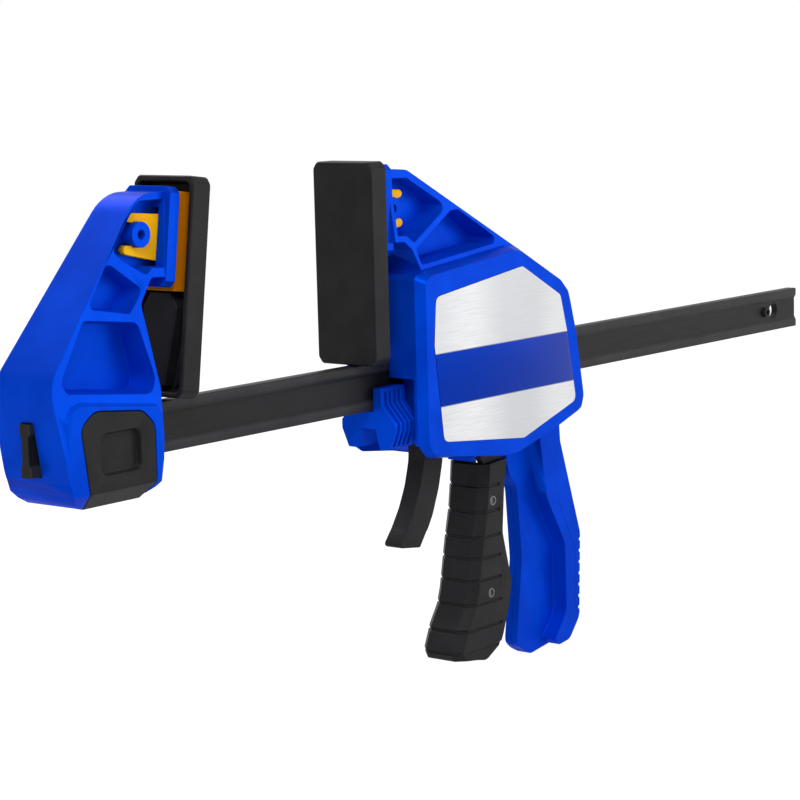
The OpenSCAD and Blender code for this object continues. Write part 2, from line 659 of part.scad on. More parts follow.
// The strap fills its seat out to the rim's own outline, and has grip ribs across its back
module handle_backstrap() {
    crest = handle_rim_shares[4];
    color(blue) difference() {
        intersection() {
            slab(rounded(carriage(handle_rim_shares), handle_rim_radii), -handle_half, handle_half);
            slab(rounded(carriage(strap_shares), strap_radii), -handle_half - over, handle_half + over);
        }
        for (i = [0 : strap_ribs - 1])
            let (share = strap_rib_start_share + (strap_rib_end_share - strap_rib_start_share) * i / (strap_ribs - 1),
                at = carriage([[crest[0] - (share + crest[1]) * strap_rib_slope_share, -share]])[0])
                block([at[0] - strap_groove[1], at[0] + over], (handle_half + over) * [-1, 1],
                    [at[1] - strap_groove[0] / 2, at[1] + strap_groove[0] / 2]);
    }
}

// Trigger: a core whose two cheeks pass the bar, inside a moulded grip
grip_bevel = [4.4, 4.3];
grip_front_shares = [[0.467, -0.305], [0.458, -0.375], [0.445, -0.455], [0.418, -0.547], [0.38, -0.707],
    [0.359, -0.76], [0.312, -0.817], [0.275, -0.889], [0.289, -0.918]];
grip_rear_shares = [[0.455, -0.936], [0.553, -0.893], [0.602, -0.782], [0.626, -0.703], [0.574, -0.535],
    [0.591, -0.377], [0.61, -0.298]];
grip_radii = [0, 0, 0, 0, 0, 0, 0, 2, 2, 6, 8, 10, 12, 12, 0, 0];
groove_shares = [0.375, 0.457, 0.537, 0.604, 0.674, 0.749, 0.827, 0.892];
groove = [1.3, 0.7];
groove_end_share = 0.56;
core_wall = 1.8;
core_rear_in = 1.2;
core_skin = 0.8;
core_end_share = -0.89;
cheek_shares = [[0.484, -0.4], [0.584, -0.4], [0.61, -0.22], [0.58, -0.145], [0.582, -0.11], [0.615, -0.02],
    [0.6185, 0.01], [0.6185, 0.04], [0.604, 0.4], [0.5, 0.4], [0.488, 0], [0.472, -0.24], [0.475, -0.285], [0.489, -0.3]];
trigger_room_shares = [[0.466, -0.34], [0.79, -0.34], [0.79, -0.2], [0.76, -0.17], [0.714, -0.11], [0.714, 0.1],
    [0.62, 0.42], [0.484, 0.42], [0.466, 0.3]];
stop_tab_shares = [[0.436, -0.292], [0.464, -0.292], [0.464, -0.25], [0.43, -0.25]];
grip_screw_shares = [[0.518, -0.425], [0.496, -0.722]];
grip_screw_r = 1.3;
grip_screw_head = [2.6, 1.2];

function grip(front_in, rear_in) = concat(
    [for (p = carriage(grip_front_shares)) p + [front_in, 0]],
    [for (p = carriage(grip_rear_shares)) p - [rear_in, 0]]);
// Channel up the inside of the grip: it is open at the back, the top and the bottom
function channel(front_in) =
    let (front = [for (p = carriage(grip_front_shares)) p + [front_in, 0]], low = front[len(front) - 1],
        end = carriage_x + body_len)
    concat([[front[0][0], -handle_drop * 0.2]], front,
        [low - [0, handle_drop * 0.1], [end, low[1] - handle_drop * 0.1], [end, -handle_drop * 0.2]]);

grip_flat = grip_half - grip_bevel[1];
module grip_solid() {
    reach = grip_half + over;
    side = rounded(grip(grip_bevel[0] * (reach - grip_flat) / grip_bevel[1], 0), grip_radii);
    front = rounded(grip(0, 0), grip_radii);
    intersection() {
        loft([[-reach, side], [-grip_flat, front], [grip_flat, front], [reach, side]]);
        block([carriage_x, carriage_x + body_len], [-grip_half, grip_half], [-handle_drop, 0]);
    }
}

// What one groove takes from the grip's front, its bevels and part of its sides
module grip_groove(share) {
    front_share = lookup(share, [for (s = grip_front_shares) [-s[1], s[0]]]);
    x = carriage_x + body_len * front_share + groove[1];
    end = carriage_x + body_len * groove_end_share;
    side = grip_half - groove[1];
    turn = x + grip_bevel[0] * (side - grip_flat) / grip_bevel[1];
    wide = grip_half + over;
    translate([0, 0, -handle_drop * share - groove[0] / 2]) linear_extrude(height = groove[0])
        polygon([[x - over * 2, -wide], [end, -wide], [end, -side], [turn, -side], [x, -grip_flat],
            [x, grip_flat], [turn, side], [end, side], [end, wide], [x - over * 2, wide]]);
}

module grip_screw_set(gap) {
    both_sides() for (at = carriage(grip_screw_shares)) {
        rod(at, grip_screw_r + gap, grip_screw_head[1] / 2 - grip_half, gap - cheek_in - core_skin);
        rod(at, grip_screw_head[0] + gap, -grip_half - over * sign(gap), grip_screw_head[1] + gap - grip_half);
    }
}

module trigger_grip() {
    color(black) difference() {
        grip_solid();
        slab(channel(grip_wall), -cheek_out, cheek_out);
        for (share = groove_shares)
            grip_groove(share);
        grip_screw_set(fit_gap);
    }
}

module trigger_core() {
    color(black) difference() {
        union() {
            intersection() {
                slab(grip(grip_wall, core_rear_in), -cheek_out, cheek_out);
                block([0, bar_len], cheek_out * [-2, 2], [handle_drop * core_end_share, 0]);
            }
            both_sides() slab(carriage(cheek_shares), -cheek_out, -cheek_in);
            both_sides() rod(trigger_axis, trigger_head_r, -cheek_out, -cheek_in);
        }
        slab(channel(grip_wall + core_wall), -cheek_in, cheek_in);
        rod(trigger_axis, trigger_pin_r + fit_gap, -grip_half, grip_half);
        grip_screw_set(fit_gap);
    }
}

module trigger_screws() {
    color(steel) grip_screw_set(0);
}

module trigger_pin() {
    color(steel) rod(trigger_axis, trigger_pin_r, -trigger_pin_end, trigger_pin_end);
}

// Drive: two plates that grip the bar when the trigger pushes them, and the spring behind them
module window_plate(x0, t, half, low, high) {
    difference() {
        block([x0, x0 + t], [-half, half], [low, high]);
        children();
    }
}

module drive_plates() {
    rise = bar_h / 2 + drive_plate_rise;
    color(steel) for (i = [0, 1])
        window_plate(drive_x + i * (drive_plate_t + loose_gap), drive_plate_t, drive_plate_half, -rise, rise)
            bar_way(drive_x - over, drive_x + drive_stack + over);
}

module drive_spring() {
    start = drive_x + drive_stack;
    color(steel) translate([start, 0, 0]) coil(spring_seat_x - start, drive_spring_r, drive_wire_r, 8);
}

// Brake: a plate that leans on the bar and holds it until the lever or the paddle pushes it upright
module brake_plate() {
    color(steel) place(brake_at, brake_tilt)
        window_plate(0, brake_t, brake_half, -brake_drop, brake_up)
            block([-over, brake_t + over], [-way_y, way_y], [-brake_at[1] - way_z, way_z - brake_at[1]]);
}

module brake_spring() {
    start = brake_at[0] + brake_t + loose_gap;
    color(steel) translate([start, 0, 0]) coil(brake_rib_x - start, brake_spring_r, brake_wire_r, 3);
}

// Release lever, its pivot pin, and the link pin that draws the paddle along
lever_shares = [[0.188, -0.12], [0.171, -0.18], [0.17, -0.26], [0.142, -0.34], [0.106, -0.403], [0.06, -0.46],
    [0.006, -0.513], [0.133, -0.527], [0.188, -0.473], [0.218, -0.433], [0.258, -0.353], [0.284, -0.273],
    [0.29, -0.2], [0.283, -0.113]];
lever_radii = [0, 2, 10, 20, 20, 20, 20, 1.5, 1.5, 20, 20, 20, 20, 20, 2, 0];
module release_lever() {
    color(black) difference() {
        union() {
            slab(rounded(concat([lever_axis - [lever_head_r, 0]], carriage(lever_shares),
                [lever_axis + [lever_head_r, 0]]), lever_radii), -lever_half, lever_half);
            rod(lever_axis, lever_head_r, -lever_half, lever_half);
        }
        rod(lever_axis, lever_pin_r + fit_gap, -lever_half - over, lever_half + over);
        rod(link_at, link_pin_r + fit_gap / 2, -lever_half - over, lever_half + over);
    }
}

module release_pin() {
    color(steel) rod(lever_axis, lever_pin_r, -lever_pin_end, lever_pin_end);
}

module release_link_pin() {
    color(steel) rod(link_at, link_pin_r, -finger_y[1] - loose_gap, finger_y[1] + loose_gap);
}

// Release paddle: a ribbed saddle under the bar with two fingers back to the link pin
paddle_section_shares = [[0.53, -0.01], [0.54, -0.27], [1, -0.56], [1, -0.7], [0.76, -1], [0.42, -1], [0.26, -0.68]];
paddle_slots = 4;
paddle_pitch_share = 0.19;
paddle_slot = [1.6, 2.4];
paddle_slot_z_shares = [-0.95, -0.08];
paddle_nose_half = 3;
paddle_nose_z_shares = [-0.66, -0.48];

module paddle_bar(x0, x1, sink) {
    outer = [for (s = paddle_section_shares) [s[0] * paddle_half, s[1] * paddle_drop]];
    right = concat([[way_y, -way_z], [way_y, outer[0][1]]], outer);
    full = concat(right, [for (i = [len(right) - 1 : -1 : 0]) [-right[i][0], right[i][1]]]);
    beam([for (p = full) [p[0] - sign(p[0]) * sink, p[1]]], x0, x1);
}

module release_paddle() {
    front = paddle_back - paddle_len;
    pitch = paddle_len * paddle_pitch_share;
    nose = brake_at[0] - paddle_travel - loose_gap;
    slot_half = link_pin_r + loose_gap;
    color(blue) difference() {
        union() {
            paddle_bar(front, paddle_back, 0);
            both_sides() block([paddle_back - over, finger_end], [-finger_y[1], -finger_y[0]], finger_z);
            block([paddle_back - over, nose], paddle_nose_half * [-1, 1], paddle_drop * paddle_nose_z_shares);
        }
        difference() {
            for (i = [1 : paddle_slots])
                block([front + i * pitch - paddle_slot[0] / 2, front + i * pitch + paddle_slot[0] / 2],
                    paddle_half * [-2, 2], paddle_drop * paddle_slot_z_shares);
            paddle_bar(front - over, paddle_back + over, paddle_slot[1]);
        }
        block([link_at[0] - slot_half, link_at[0] + slot_half], paddle_half * [-1, 1],
            [-paddle_drop * 2, link_at[1] + slot_half]);
    }
}

bar();
stop_pin();
fixed_jaw();
latch_button();
latch_pin();
latch_spring();
fixed_yoke();
fixed_pad();
housing_near();
housing_far();
housing_screws();
label_plate_near();
label_plate_far();
handle_backstrap();
moving_yoke();
moving_pad();
trigger_core();
trigger_grip();
trigger_screws();
trigger_pin();
drive_plates();
drive_spring();
brake_plate();
brake_spring();
release_lever();
release_pin();
release_link_pin();
release_paddle();
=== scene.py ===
import math

import bmesh
import bpy
import numpy as np
from mathutils import Matrix, Vector


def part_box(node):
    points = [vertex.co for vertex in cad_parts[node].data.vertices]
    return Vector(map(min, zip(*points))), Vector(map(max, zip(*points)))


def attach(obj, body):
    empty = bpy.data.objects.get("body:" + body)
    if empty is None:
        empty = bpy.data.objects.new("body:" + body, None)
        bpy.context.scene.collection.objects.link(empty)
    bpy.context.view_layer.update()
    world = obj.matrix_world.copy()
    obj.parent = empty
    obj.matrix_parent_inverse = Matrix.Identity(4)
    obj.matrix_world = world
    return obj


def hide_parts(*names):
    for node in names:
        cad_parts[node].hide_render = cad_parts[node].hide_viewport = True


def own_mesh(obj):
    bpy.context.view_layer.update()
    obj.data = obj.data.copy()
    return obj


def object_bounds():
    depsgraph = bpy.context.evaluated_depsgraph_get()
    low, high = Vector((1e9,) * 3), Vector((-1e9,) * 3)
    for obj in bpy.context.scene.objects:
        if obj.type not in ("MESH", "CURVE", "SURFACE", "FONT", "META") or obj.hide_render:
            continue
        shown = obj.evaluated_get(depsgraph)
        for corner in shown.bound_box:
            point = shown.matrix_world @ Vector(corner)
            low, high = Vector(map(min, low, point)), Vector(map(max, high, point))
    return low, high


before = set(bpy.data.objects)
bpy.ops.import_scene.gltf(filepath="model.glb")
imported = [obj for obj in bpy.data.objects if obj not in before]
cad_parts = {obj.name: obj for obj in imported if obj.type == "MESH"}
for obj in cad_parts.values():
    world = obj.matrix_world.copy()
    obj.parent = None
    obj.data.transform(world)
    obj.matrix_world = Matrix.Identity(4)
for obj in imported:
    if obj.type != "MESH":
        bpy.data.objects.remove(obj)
cad_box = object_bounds()
scene = bpy.context.scene
MM = 0.001

# Camera: it stands where the photographer stood, in front of the jaws and to the near side of the bar,
# about one metre away with a long lens, and looks a little down on the clamp.
PHOTO_PX = 800
FOCAL_PX = 2559.07
SENSOR_MM = 36
YAW = -0.88743
PITCH = 0.13992
ROLL = -0.02656
CLAMP_IN_VIEW = np.array([-0.1470158, 0.0202359, 1.0037781])
FAR_CLIP = 100


def turned(axis, angle):
    """Rotation matrix round one axis: cosines on the diagonal, and minus and plus the sine across it."""
    i, j = (axis + 1) % 3, (axis + 2) % 3
    matrix = np.eye(3)
    matrix[i, i] = matrix[j, j] = math.cos(angle)
    matrix[i, j], matrix[j, i] = -math.sin(angle), math.sin(angle)
    return matrix


right_down_ahead = np.array([[1, 0, 0], [0, 0, -1], [0, 1, 0]])
view = turned(2, ROLL) @ turned(0, PITCH) @ turned(1, YAW) @ right_down_ahead
camera_data = bpy.data.cameras.new("camera")
camera_data.sensor_width = SENSOR_MM
camera_data.lens = FOCAL_PX / PHOTO_PX * SENSOR_MM
camera_data.clip_end = FAR_CLIP
camera = bpy.data.objects.new("camera", camera_data)
placed = np.eye(4)
placed[:3, :3] = view.T @ np.diag([1, -1, -1])
placed[:3, 3] = -view.T @ CLAMP_IN_VIEW
camera.matrix_world = Matrix(placed.tolist())
scene.collection.objects.link(camera)
scene.camera = camera
scene.view_settings.view_transform = "Standard"


# Studio: a pale floor under the handle, a white surround, and three soft boxes: a key light high on the left,
# a weaker one low in front, and one behind that draws the upper edges.
class Value:
    """One socket of a material. Arithmetic on it adds the Math nodes."""

    def __init__(self, finish, socket):
        self.finish = finish
        self.socket = socket

    def math(self, operation, *terms):
        settings = {"operation": operation}
        return self.finish.node("ShaderNodeMath", settings, dict(enumerate(terms)))[0]

    def __add__(self, other):
        return self.math("ADD", self, other)

    def __rsub__(self, other):
        return self.math("SUBTRACT", other, self)

    def __mul__(self, other):
        return self.math("MULTIPLY", self, other)

    def __gt__(self, other):
        return self.math("GREATER_THAN", self, other)

    def __lt__(self, other):
        return self.math("LESS_THAN", self, other)

    def band(self, low, high):
        """Rises smoothly from 0 at low to 1 at high."""
        settings = {"interpolation_type": "SMOOTHSTEP"}
        return self.finish.node("ShaderNodeMapRange", settings, {0: self, 1: low, 2: high})[0]


class Finish:
    """Nodes of a material or of the world, which are added one at a time."""

    def __init__(self, tree):
        self.tree = tree

    def node(self, kind, settings=None, sockets=None):
        """Adds a node and returns its outputs. Settings come first, then the sockets get numbers or links."""
        made = self.tree.nodes.new(kind)
        for name, value in (settings or {}).items():
            setattr(made, name, value)
        for name, value in (sockets or {}).items():
            self.put(made.inputs[name], value)
        return [Value(self, s) for s in made.outputs if s.enabled]

    def put(self, socket, value):
        if isinstance(value, Value):
            self.tree.links.new(value.socket, socket)
        elif isinstance(value, (tuple, list)) and len(value) == 3 and socket.type == "RGBA":
            socket.default_value = (*value, 1)
        else:
            socket.default_value = value

    def mix(self, share, first, second):
        """Colour that goes from first to second as share goes from 0 to 1."""
        return self.node("ShaderNodeMix", {"data_type": "RGBA"}, {0: share, 6: first, 7: second})[0]

    def seen(self):
        """1 for rays from the camera, from gloss and through glass, and 0 for the light on the object."""
        path = self.tree.nodes.new("ShaderNodeLightPath")
        kinds = ("Is Camera Ray", "Is Glossy Ray", "Is Transmission Ray")
        rays = [Value(self, path.outputs[name]) for name in kinds]
        total = rays[0] + rays[1] + rays[2]
        return total.math("MINIMUM", total, 1)


SURROUND_LIGHT = 0.3
world = bpy.data.worlds.new("studio")
world.use_nodes = True
scene.world = world
surround = Finish(world.node_tree)
background = world.node_tree.nodes["Background"]
background.inputs["Color"].default_value = (1, 1, 1, 1)
surround.put(background.inputs["Strength"], surround.seen() * (1 - SURROUND_LIGHT) + SURROUND_LIGHT)

FLOOR_HALF = 40
FLOOR_MIDDLE_X = 0.3
FLOOR_PALE = 0.82
FLOOR_GREY = (0.9, 0.9, 0.9)
FLOOR_GLOW = 1.16
floor_mesh = bpy.data.meshes.new("floor")
square = np.array([[-1, -1, 0], [1, -1, 0], [1, 1, 0], [-1, 1, 0]])
corners = square * FLOOR_HALF + [FLOOR_MIDDLE_X, 0, cad_box[0].z - MM]
floor_mesh.from_pydata(corners.tolist(), [], [(0, 1, 2, 3)])
floor = bpy.data.objects.new("floor", floor_mesh)
scene.collection.objects.link(floor)
floor_material = bpy.data.materials.new("pale floor")
floor_material.use_nodes = True
paint = Finish(floor_material.node_tree)
floor_material.node_tree.nodes.remove(floor_material.node_tree.nodes["Principled BSDF"])
matt = paint.node("ShaderNodeBsdfDiffuse", None, {"Color": FLOOR_GREY})[0]
white = paint.node("ShaderNodeEmission", None, {"Color": (1, 1, 1), "Strength": FLOOR_GLOW})[0]
both = paint.node("ShaderNodeMixShader", None, {0: paint.seen() * FLOOR_PALE, 1: matt, 2: white})[0]
paint.put(floor_material.node_tree.nodes["Material Output"].inputs["Surface"], both)
floor_mesh.materials.append(floor_material)

CLAMP_MIDDLE = np.array([0.22, 0, 0.02])
SOFT_BOXES = (
    ("key", (-0.9, -0.9, 1.3), 0.9, 22),
    ("fill", (1.15, -1.25, 0.1), 1.2, 12),
    ("rim", (0.5, 1.3, 1.1), 0.9, 12),
)
for name, place, width, watts in SOFT_BOXES:
    lamp_data = bpy.data.lights.new(name, "AREA")
    lamp_data.shape = "SQUARE"
    lamp_data.size = width
    lamp_data.energy = watts
    lamp = bpy.data.objects.new(name, lamp_data)
    back = Vector(np.array(place) - CLAMP_MIDDLE)
    lamp.rotation_euler = back.to_track_quat("Z", "Y").to_euler()
    lamp.location = place
    scene.collection.objects.link(lamp)


# Bar: a black oxide steel I section which carries both jaws; its recessed web is painted darker as shade, and
# its flanges are rubbed to a blotchy lighter tone.
# The hollow stop pin is pressed through it near its rear end.
WEB_SHADE_BLACK = (0.009, 0.009, 0.010)
EDGE_DARK = (0.019, 0.019, 0.021)
EDGE_PALE = (0.026, 0.026, 0.028)
CLOUD_LOW = 0.3
CLOUD_HIGH = 0.7
MERGE_GAP = 0.02 * MM
FLAT_ANGLE = math.radians(1)
SHARP_ANGLE = math.radians(28)
ROOM_FOR_ROUNDING = 1.4
WEB_TO = 2.0 * MM
FLANGE_FROM = 2.8 * MM
OXIDE_ROUGH = 0.38
ROUGH_SPREAD = 0.2
DRAWN_ALONG_X = (0.05, 1, 1)


def shaded(name, **numbers):
    """New material whose shader's own sockets get these numbers, and the Finish that adds nodes to it."""
    material = bpy.data.materials.new(name)
    material.use_nodes = True
    finish = Finish(material.node_tree)
    finish.material = material
    finish.shader = material.node_tree.nodes["Principled BSDF"]
    for socket, value in numbers.items():
        finish.put(finish.shader.inputs[socket.replace("_", " ")], value)
    finish.here = finish.node("ShaderNodeTexCoord")[3]
    return finish


def grain(finish, per_metre, detail=2.0, stretch=(1, 1, 1)):
    """Noise from 0 to 1 with this many grains to the metre, drawn out where stretch is under 1."""
    at = finish.node("ShaderNodeVectorMath", {"operation": "MULTIPLY"}, {0: finish.here, 1: stretch})[0]
    return finish.node("ShaderNodeTexNoise", None, {"Vector": at, "Scale": per_metre, "Detail": detail})[0]


def bumped(finish, height, depth):
    """Feeds the shader's normal with a height from 0 to 1 that stands for this depth in metres."""
    bump = finish.node("ShaderNodeBump", None, {"Height": height, "Distance": depth, "Strength": 1.0})[0]
    finish.put(finish.shader.inputs["Normal"], bump)


def moulded(node, body, material, radius, segments=2):
    """Copy of a CAD node with its facets joined and its edges rounded; it stands for that node."""
    shape = bmesh.new()
    shape.from_mesh(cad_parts[node].data)
    bmesh.ops.remove_doubles(shape, verts=shape.verts, dist=MERGE_GAP)
    bmesh.ops.dissolve_limit(shape, angle_limit=FLAT_ANGLE, verts=shape.verts, edges=shape.edges)
    # Only edges with room for the rounding get it, so that no corner folds over
    weight = shape.edges.layers.float.new("bevel_weight_edge")
    room = ROOM_FOR_ROUNDING * radius
    tight = {v for edge in shape.edges if edge.calc_length() < room for v in edge.verts}
    for edge in shape.edges:
        turns = edge.is_manifold and edge.calc_face_angle() > SHARP_ANGLE
        edge[weight] = float(turns and not tight.intersection(edge.verts))
    mesh = bpy.data.meshes.new(node + "_skin")
    shape.to_mesh(mesh)
    shape.free()
    mesh.materials.clear()
    mesh.materials.append(material)
    mesh.shade_smooth()
    mesh.set_sharp_from_angle(angle=SHARP_ANGLE)
    piece = bpy.data.objects.new(node + "_skin", mesh)
    scene.collection.objects.link(piece)
    bevel = piece.modifiers.new("rounded edges", "BEVEL")
    bevel.width = radius
    bevel.segments = segments
    bevel.limit_method = "WEIGHT"
    bevel.use_clamp_overlap = False
    bevel.harden_normals = True
    bevel.miter_outer = "MITER_ARC"
    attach(piece, body)
    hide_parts(node)


oxide = shaded("black oxide", Metallic=0.2, Specular_IOR_Level=0.15)
streaks = grain(oxide, 900, 3, DRAWN_ALONG_X)
blotches = grain(oxide, 60, 4)
across = oxide.node("ShaderNodeSeparateXYZ", None, {0: oxide.here})[1]
# Painted shade: the web between the flanges gets a darker colour, standing in for the shade in its recess.
clear_of_web_shade = across.math("ABSOLUTE", across).band(WEB_TO, FLANGE_FROM)
rubbed = oxide.mix(blotches.band(CLOUD_LOW, CLOUD_HIGH), EDGE_DARK, EDGE_PALE)
oxide.put(oxide.shader.inputs["Base Color"], oxide.mix(clear_of_web_shade, WEB_SHADE_BLACK, rubbed))
oxide.put(oxide.shader.inputs["Roughness"], streaks * ROUGH_SPREAD + OXIDE_ROUGH)
bumped(oxide, streaks, 0.02 * MM)
moulded("bar", "root", oxide.material, 0.35 * MM)
moulded("stop_pin", "root", oxide.material, 0.3 * MM)

# Fixed jaw: one blue moulding of glass-filled nylon, ribbed above and with a raised arch round the panel.
# The bar runs through its foot.
DEEP_BLUE = (0.0, 0.042, 0.50)
LIT_BLUE = (0.0, 0.054, 0.60)
BLUE_GLOSS = (0.05, 0.35, 1.0)
NYLON_ROUGH = 0.3
NYLON_SPREAD = 0.12
nylon = shaded("blue nylon", Metallic=0.3, Specular_IOR_Level=0.03, Specular_Tint=BLUE_GLOSS)
cloudy = grain(nylon, 45, 3)
pebble = grain(nylon, 1900, 2)
blue = nylon.mix(cloudy.band(CLOUD_LOW, CLOUD_HIGH), DEEP_BLUE, LIT_BLUE)
nylon.put(nylon.shader.inputs["Base Color"], blue)
nylon.put(nylon.shader.inputs["Roughness"], cloudy * NYLON_SPREAD + NYLON_ROUGH)
bumped(nylon, pebble, 0.012 * MM)
moulded("fixed_jaw", "root", nylon.material, 0.2 * MM)

# Latch: a black push panel in the jaw's near side, with the pin and the spring that it works.
# The spring is wound from one wire.
MATT_BLACK = (0.0098, 0.0096, 0.0108)
WORN_BLACK = (0.014, 0.0137, 0.0152)
BLACK_ROUGH = 0.35
ZINC_GREY = (0.42, 0.42, 0.44)
ZINC_PALE = (0.60, 0.60, 0.62)
TURN_STEPS = 24
WIRE_SIDES = 12
WIRE_END = np.array([0, 0.5, 0.87, 1])
WIRE_SMOOTH = 60
JOIN_GAP = 0.002 * MM


def black_moulding(name, per_metre, depth):
    """Black nylon with a fine spark-eroded grain."""
    finish = shaded(name, Specular_IOR_Level=0.1)
    fine = grain(finish, per_metre, 3)
    broad = grain(finish, 70, 3)
    black = finish.mix(broad.band(CLOUD_LOW, CLOUD_HIGH), MATT_BLACK, WORN_BLACK)
    finish.put(finish.shader.inputs["Base Color"], black)
    finish.put(finish.shader.inputs["Roughness"], fine * ROUGH_SPREAD + BLACK_ROUGH)
    bumped(finish, fine, depth)
    return finish.material


satin_black = black_moulding("black nylon", 1300, 0.12 * MM)
moulded("latch_button", "latch", satin_black, 0.4 * MM)

zinc = shaded("zinc plate", Roughness=0.35, Metallic=1.0)
zinc_cloud = grain(zinc, 500, 3)
zinc.put(zinc.shader.inputs["Base Color"], zinc.mix(zinc_cloud, ZINC_GREY, ZINC_PALE))
bumped(zinc, zinc_cloud, 0.01 * MM)


def surface(name, points):
    """Mesh of quads over rings of points. u goes from ring to ring, v round them, and u x v outwards."""
    rings, around = points.shape[:2]
    number = np.arange(rings * around).reshape(rings, around)
    number = np.hstack([number, number[:, :1]])
    sides = [number[:-1, :-1], number[1:, :-1], number[1:, 1:], number[:-1, 1:]]
    quads = np.stack(sides, -1).reshape(-1, 4)
    mesh = bpy.data.meshes.new(name)
    mesh.from_pydata(points.reshape(-1, 3).tolist(), [], quads.tolist())
    return mesh


def joined(name, mesh, material, smooth):
    """Piece made of a mesh, with its doubled points merged and its faces turned outwards."""
    whole = bmesh.new()
    whole.from_mesh(mesh)
    bpy.data.meshes.remove(mesh)
    bmesh.ops.remove_doubles(whole, verts=whole.verts, dist=JOIN_GAP)
    bmesh.ops.recalc_face_normals(whole, faces=whole.faces)
    mesh = bpy.data.meshes.new(name)
    whole.to_mesh(mesh)
    whole.free()
    mesh.materials.append(material)
    mesh.shade_smooth()
    mesh.set_sharp_from_angle(angle=math.radians(smooth))
    piece = bpy.data.objects.new(name, mesh)
    scene.collection.objects.link(piece)
    return piece


def spring(node, body, axis, turns, wire_r):
    """Wire wound along one axis of a CAD spring's box: a circle carried along a helix, with closed ends."""
    low, high = (np.array(corner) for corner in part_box(node))
    across = [i for i in range(3) if i != axis]
    middle = (low + high) / 2
    coil_r = (high - low)[across].max() / 2 - wire_r
    share = np.linspace(0, 1, turns * TURN_STEPS + 1)
    angle = 2 * math.pi * turns * share
    path = np.zeros((len(share), 3))
    outward = np.zeros((len(share), 3))
    path[:, axis] = low[axis] + wire_r + (high - low - 2 * wire_r)[axis] * share
    outward[:, across[0]] = np.cos(angle)
    outward[:, across[1]] = np.sin(angle)
    path[:, across] = middle[across] + coil_r * outward[:, across]
    along = np.gradient(path, axis=0)
    along /= np.linalg.norm(along, axis=1, keepdims=True)
    upward = np.cross(along, outward)
    # The wire's radius falls to nothing at both ends, which closes them
    swell = np.ones(len(share))
    swell[: len(WIRE_END)] = WIRE_END
    swell[-len(WIRE_END) :] = WIRE_END[::-1]
    around = np.linspace(0, 2 * math.pi, WIRE_SIDES, endpoint=False)[None, :, None]
    ring = outward[:, None] * np.cos(around) + upward[:, None] * np.sin(around)
    points = path[:, None] + wire_r * swell[:, None, None] * ring
    piece = joined(node + "_wire", surface(node, points), zinc.material, WIRE_SMOOTH)
    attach(piece, body)
    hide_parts(node)
    return piece, low, high


wire, low, high = spring("latch_spring", "root", 1, 4, 0.5 * MM)
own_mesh(wire)
moulded("latch_pin", "latch", zinc.material, 0.3 * MM)

# Yokes: yellow mouldings whose cheeks snap on the jaws' bosses and whose blocks fill the backs of the pads.
# The plastic is a little waxy, and its block behind the fixed pad is painted darker as the shade in the gap
# between the plate and the pad.
DEEP_YELLOW = (0.90, 0.42, 0.0)
LIT_YELLOW = (0.95, 0.50, 0.0)
GAP_SHADE_AMBER = (0.56, 0.17, 0.0)
YELLOW_GLOSS = (1.0, 0.8, 0.3)
BLOCK_FRONT = 73.5 * MM
BLOCK_FULL = 75.5 * MM
BLOCK_BACK = 100 * MM
amber = shaded("yellow nylon", Roughness=0.4, Specular_IOR_Level=0.15, Specular_Tint=YELLOW_GLOSS)
tone = grain(amber, 80, 2)
along = amber.node("ShaderNodeSeparateXYZ", None, {0: amber.here})[0]
# Painted shade: the block's part between the plate and the pad turns dark amber.
block_in_shade = along.band(BLOCK_FRONT, BLOCK_FULL) * (along < BLOCK_BACK)
thin_amber = amber.mix(tone.band(CLOUD_LOW, CLOUD_HIGH), DEEP_YELLOW, LIT_YELLOW)
amber.put(amber.shader.inputs["Base Color"], amber.mix(block_in_shade, thin_amber, GAP_SHADE_AMBER))
bumped(amber, grain(amber, 1900, 2), 0.01 * MM)
moulded("fixed_yoke", "fixed_swivel", amber.material, 0.4 * MM)
moulded("moving_yoke", "moving_swivel", amber.material, 0.4 * MM)

# Pads: hollow black mouldings in a firm plastic that doesn't mark the work, with a rim round the back.
# Their faces have a fine leathery grain, and their edges are chamfered.
pad_black = black_moulding("pad black", 1100, 0.05 * MM)
moulded("fixed_pad", "fixed_swivel", pad_black, 0.8 * MM, segments=1)
moulded("moving_pad", "moving_swivel", pad_black, 0.8 * MM, segments=1)

# Carriage: two blue shells that meet on the bar's middle plane, with the arm above and the handle below.
# Screws hold them together from the far side.
for node in ("housing_near", "housing_far", "handle_backstrap"):
    moulded(node, "carriage", nylon.material, 0.3 * MM)

# Label plates: brushed aluminium let into the raised side panels, with a printed blue band across them.
# Each is a thin plate with a rolled edge. The edge is painted dark as the shade in the gap round the plate,
# and broad pale bands on the face are a painted sheen.
LABEL_CORNERS = np.array([
    [235.5, -27.15], [297, -33.6], [340.5, -20.7], [334, 13.8],
    [328.875, 32.2], [298.5, 48.6], [231.75, 40], [229.875, 18],
]) * MM
LABEL_RADII = np.array([4, 7, 4, 8, 4, 5, 4, 12]) * MM
CORNER_STEPS = 7
LABEL_BACK = 23.6 * MM
LABEL_FACE = 24.2 * MM
EDGE_STEPS = (
    (0, LABEL_BACK),
    (0, LABEL_FACE - 0.2 * MM),
    (0.06 * MM, LABEL_FACE - 0.06 * MM),
    (0.2 * MM, LABEL_FACE),
)
FACE_DEPTH = 0.04 * MM
BAND_LOW = -10.6 * MM
BAND_HIGH = 13.7 * MM
BAND_LINE = 0.35 * MM
SILVER_GREY = (0.66, 0.67, 0.69)
SILVER_PALE = (0.88, 0.88, 0.89)
BRUSH_GREY = (0.56, 0.57, 0.59)
LINE_GREY = (0.30, 0.31, 0.34)
BAND_BLUE = (0.0, 0.026, 0.31)
GAP_SHADE_DARK = (0.004, 0.008, 0.05)
BRUSHED_ALONG_X = (0.02, 1, 1)
SHEEN_STRETCH = (1, 0.05, 0.12)
